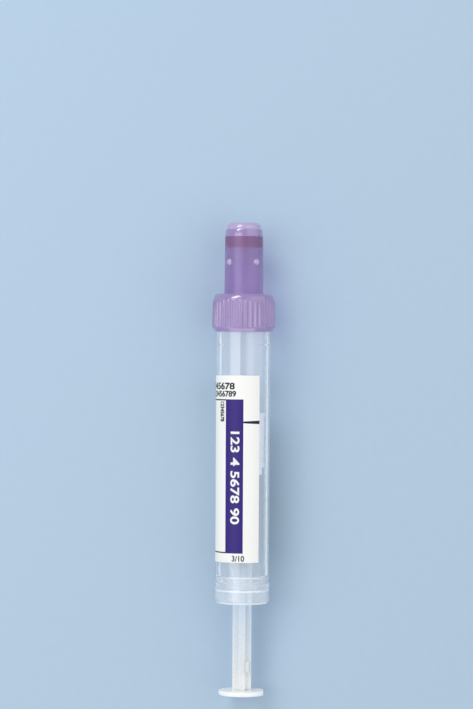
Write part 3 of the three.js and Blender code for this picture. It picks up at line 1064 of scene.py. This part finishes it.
def cap_plastic(name, cap, tint, clearness, rough, coat):
    """Translucent purple plastic with cloudy flow and a satin skin. coat holds its gloss coat's
    strength and roughness."""
    material, tree, shader = plastic(
        name, Transmission_Weight=clearness,
        Coat_Weight=coat[0], Coat_Roughness=coat[1], Coat_IOR=1.6,
    )
    cloud, fine = grain(tree, 2.5 * MM, 3), grain(tree, 0.12 * MM)
    tint = tints(tree, cloud, tint, 0.92)
    skin(tree, shader, tint, fine, (rough, rough + 0.08), fine, 0.002 * MM)
    let_lamps_through(tree, shader.outputs["BSDF"], cap.shade)
    return material


def membrane_rubber(stopper):
    """Dull dark rubber with a powdery grain."""
    material, tree, shader = plastic("Membrane rubber")
    fine = grain(tree, 0.15 * MM)
    skin(tree, shader, tints(tree, fine, stopper.tint, 0.8), fine, (0.6, 0.8), fine, 0.01 * MM)
    return material


def piston_plastic(piston):
    """Milky piston plastic with a fine satin skin."""
    material, tree, shader = plastic(
        "Milky piston plastic", Subsurface_Weight=0.2, Subsurface_Scale=0.001,
        Subsurface_Radius=(1, 1, 1),
    )
    cloud, fine = grain(tree, 1.8 * MM), grain(tree, 0.1 * MM)
    skin(tree, shader, tints(tree, cloud, piston.tint, 0.94), fine, (0.3, 0.42), fine, 0.004 * MM)
    return material


def rod_plastic(name, rod, clearness, depth):
    """Whitish translucent rod plastic with flow marks, bluer towards the foot: the blue is painted,
    standing in for the light seen through the plastic.
    """
    material, tree, shader = plastic(
        name, Transmission_Weight=clearness,
        Subsurface_Weight=depth, Subsurface_Scale=0.0012, Subsurface_Radius=(1, 1, 1),
    )
    flow, fine = grain(tree, 0.8 * MM, 12), grain(tree, 0.12 * MM)
    disc = node_ends("plunger_rod")[0]
    start, end = (TUBE @ Vector((0, 0, height)) for height in (disc + 3 * MM, 0))
    rise = add_node(tree, "ShaderNodeMapRange", {
        "Value": coordinate(tree, "Y"), "From Min": start.y, "From Max": end.y,
    })
    # The fade towards the foot to the bluish tint is painted light seen through the plastic.
    # A Mix of colours takes its share at socket 0 and its colours at 6 and 7, and gives output 2.
    fade = add_node(tree, "ShaderNodeMix", {
        0: rise.outputs["Result"],
        6: tints(tree, flow, rod.tint, 0.97),
        7: tints(tree, flow, rod.painted_blue_tint, 0.95),
    }, data_type="RGBA")
    skin(tree, shader, fade.outputs[2], fine, (0.24, 0.36), flow, 0.003 * MM)
    let_lamps_through(tree, shader.outputs["BSDF"], dimmed(rod.painted_blue_tint, clearness * 3))
    return material


def label_film(label):
    """White printed film with a faint pulp-like mottle."""
    material, tree, shader = plastic("Label film", IOR=1.45)
    fine = grain(tree, 0.3 * MM, 1, 6)
    skin(tree, shader, tints(tree, fine, label.film, 0.975), fine, (0.42, 0.52), fine, 0.003 * MM)
    return material


def ink_on_film(name, tint):
    """Printed ink: its colour is a little uneven over the film's grain."""
    material, tree, shader = plastic(name, IOR=1.45, Specular_IOR_Level=0.3)
    fine = grain(tree, 0.2 * MM, 1, 6)
    skin(tree, shader, tints(tree, fine, tint, 0.88), fine, (0.35, 0.45), fine, 0.002 * MM)
    return material


def floor_paper(stage):
    """Pale seamless studio paper with a very soft mottle."""
    material, tree, shader = plastic(
        "Studio paper", IOR=1.3, Roughness=0.9, Specular_IOR_Level=0.2,
    )
    tint = tints(tree, grain(tree, 1.5 * MM), stage.floor, 0.985)
    tree.links.new(tint, shader.inputs["Base Color"])
    return material


# The studio


def softbox(name, power, place, size):
    """A soft rectangular lamp at a place in the row frame, aimed at the tube."""
    lamp = bpy.data.lights.new(name, "AREA")
    lamp.shape = "RECTANGLE"
    lamp.size, lamp.size_y = size
    lamp.energy = power
    holder = new_object(name, lamp)
    holder.location = place
    holder.rotation_mode = "QUATERNION"
    holder.rotation_quaternion = (Vector(LAMP_AIM) - Vector(place)).to_track_quat("-Z", "Y")


def make_camera(stage):
    """The camera: square to the tube, over its front, with the tube leaning slightly in view."""
    across, _, axis = TUBE.to_3x3().transposed()
    forward = axis.cross(across)
    data = bpy.data.cameras.new("Camera")
    data.lens, data.sensor_width = stage.lens, 36
    data.clip_start, data.clip_end = 0.01, 20
    right = across * math.cos(stage.lean) + axis * math.sin(stage.lean)
    up = axis * math.cos(stage.lean) - across * math.sin(stage.lean)
    place = TUBE @ Vector((-stage.aim_left, -stage.distance, stage.aim_height))
    turned = Matrix((right, up, -forward)).transposed().to_4x4()
    camera = new_object("Camera", data)
    camera.matrix_world = Matrix.Translation(place) @ turned
    bpy.context.scene.camera = camera


def make_stage(stage):
    """The pale floor, the soft light and the camera."""
    bm = bmesh.new()
    bmesh.ops.create_circle(bm, cap_ends=True, segments=96, radius=4)
    mesh_object(bm, "studio_floor", [floor_paper(stage)])

    world = bpy.data.worlds.new("Studio room")
    world.use_nodes = True
    back = world.node_tree.nodes["Background"]
    back.inputs["Color"].default_value = (*stage.room, 1)
    back.inputs["Strength"].default_value = stage.room_level
    bpy.context.scene.world = world

    softbox("Key light", stage.key_power, (-0.33, 0.46, 0.49), (0.42, 0.22))
    softbox("Soft light", stage.soft_power, (-0.36, 0.02, 0.5), (0.28, 0.5))
    softbox("Fill light", stage.fill_power, (0.8, 0.05, 0.5), (1.5, 1.5))
    softbox("Foot light", stage.foot_power, (-0.08, -0.62, 0.12), (0.9, 0.22))
    make_camera(stage)
    bpy.context.scene.view_settings.view_transform = "Standard"


# Operators and panel


class TUBE_OT_add_barrel(bpy.types.Operator):
    """Add the clear barrel with its foot, locking ring and threaded neck"""

    bl_idname = "tube.add_barrel"
    bl_label = "Add barrel"

    def execute(self, context):
        make_barrel(context.scene.tube_settings.barrel)
        return {"FINISHED"}


class TUBE_OT_add_cap(bpy.types.Operator):
    """Add the ribbed purple screw cap with its nose"""

    bl_idname = "tube.add_cap"
    bl_label = "Add screw cap"

    def execute(self, context):
        settings = context.scene.tube_settings
        make_cap(settings.cap, settings.barrel)
        return {"FINISHED"}


class TUBE_OT_add_membrane(bpy.types.Operator):
    """Add the rubber membrane in the cap's nose"""

    bl_idname = "tube.add_membrane"
    bl_label = "Add membrane"

    def execute(self, context):
        make_stopper(context.scene.tube_settings.stopper)
        return {"FINISHED"}


class TUBE_OT_add_plunger(bpy.types.Operator):
    """Add the piston and the plunger rod that is snapped into it"""

    bl_idname = "tube.add_plunger"
    bl_label = "Add plunger"

    def execute(self, context):
        settings = context.scene.tube_settings
        make_piston(settings.piston)
        make_rod(settings.rod)
        return {"FINISHED"}


class TUBE_OT_add_label(bpy.types.Operator):
    """Add the printed label round the barrel"""

    bl_idname = "tube.add_label"
    bl_label = "Add label"

    def execute(self, context):
        settings = context.scene.tube_settings
        make_label(settings.label, settings.barrel)
        return {"FINISHED"}


class TUBE_OT_add_studio(bpy.types.Operator):
    """Add the pale floor, the soft lamps and the camera"""

    bl_idname = "tube.add_studio"
    bl_label = "Add studio"

    def execute(self, context):
        make_stage(context.scene.tube_settings.stage)
        return {"FINISHED"}


OPERATORS = (
    TUBE_OT_add_studio,
    TUBE_OT_add_barrel,
    TUBE_OT_add_cap,
    TUBE_OT_add_membrane,
    TUBE_OT_add_plunger,
    TUBE_OT_add_label,
)


class TUBE_PT_panel(bpy.types.Panel):
    """The tube's operators and settings in the sidebar"""

    bl_idname = "TUBE_PT_panel"
    bl_label = "Blood collection tube"
    bl_space_type = "VIEW_3D"
    bl_region_type = "UI"
    bl_category = "Tube"

    def draw(self, context):
        layout = self.layout
        for operator in OPERATORS:
            layout.operator(operator.bl_idname)
        for name in GROUPS:
            group = getattr(context.scene.tube_settings, name)
            box = layout.box()
            box.label(text=name.capitalize())
            for setting in group.bl_rna.properties:
                if setting.identifier not in ("name", "rna_type"):
                    box.prop(group, setting.identifier)


CLASSES = (*GROUPS.values(), TubeSettings, *OPERATORS, TUBE_PT_panel)


def register():
    for kind in CLASSES:
        bpy.utils.register_class(kind)
    bpy.types.Scene.tube_settings = PointerProperty(type=TubeSettings)


def unregister():
    del bpy.types.Scene.tube_settings
    for kind in reversed(CLASSES):
        bpy.utils.unregister_class(kind)


def main():
    """Builds the studio and every piece."""
    register()
    bpy.ops.tube.add_studio()
    bpy.ops.tube.add_barrel()
    bpy.ops.tube.add_cap()
    bpy.ops.tube.add_membrane()
    bpy.ops.tube.add_plunger()
    bpy.ops.tube.add_label()


if __name__ == "__main__":
    main()
